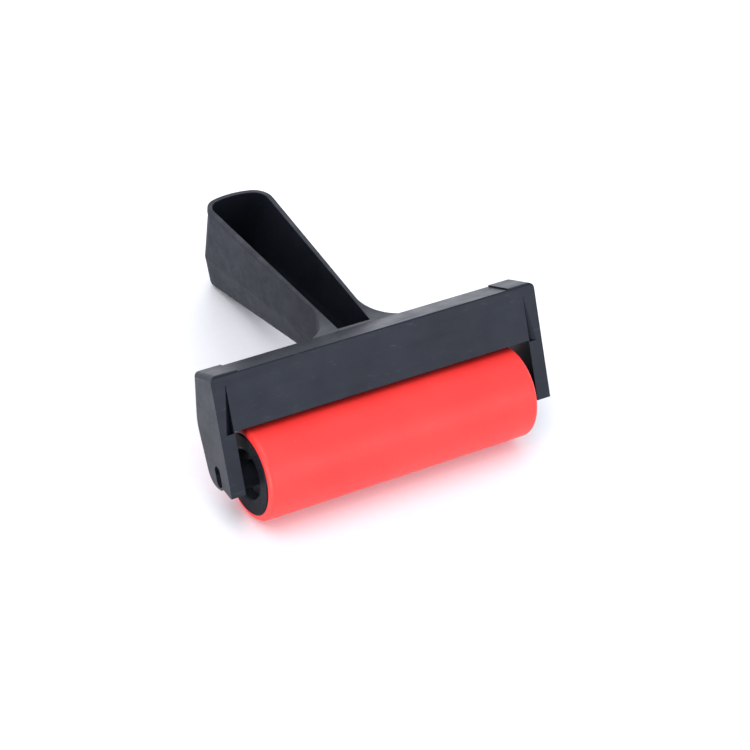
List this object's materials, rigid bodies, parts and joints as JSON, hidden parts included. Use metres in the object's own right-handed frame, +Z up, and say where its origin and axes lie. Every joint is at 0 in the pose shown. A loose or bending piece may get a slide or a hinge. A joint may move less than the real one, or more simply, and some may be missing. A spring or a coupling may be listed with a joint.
{
  "type": "rubber brayer",
  "caption": "Hand brayer: a rubber-covered roller that turns freely on a steel axle between the arms of a moulded frame with a hollow boat-shaped handle, for rolling ink onto a printing plate.",
  "frame": {"origin": "on the surface the brayer rests on, below the middle of its bounding box", "axes": "+Z up from the resting surface, +Y from the roller to the end of the handle, X along the roller's axle"},
  "size_m": [0.1196, 0.1242, 0.0496],
  "materials": {
    "frame_plastic": "satin moulded black",
    "cap_plastic": "satin moulded black",
    "red_rubber": "smooth ground rubber",
    "axle_steel": "drawn rod"
  },
  "bodies": {
    "frame": {"handle_frame": "frame_plastic", "axle_rod": "axle_steel"},
    "roller": {"rubber_sleeve": "red_rubber", "roller_core": "cap_plastic", "end_cap_left": "cap_plastic", "end_cap_right": "cap_plastic"}
  },
  "joints": [
    {"name": "roller_spin", "type": "hinge", "parent": "frame", "child": "roller", "pos_m": [0, -0.04643, 0.0157], "axis": [1, 0, 0], "continuous": true}
  ]
}
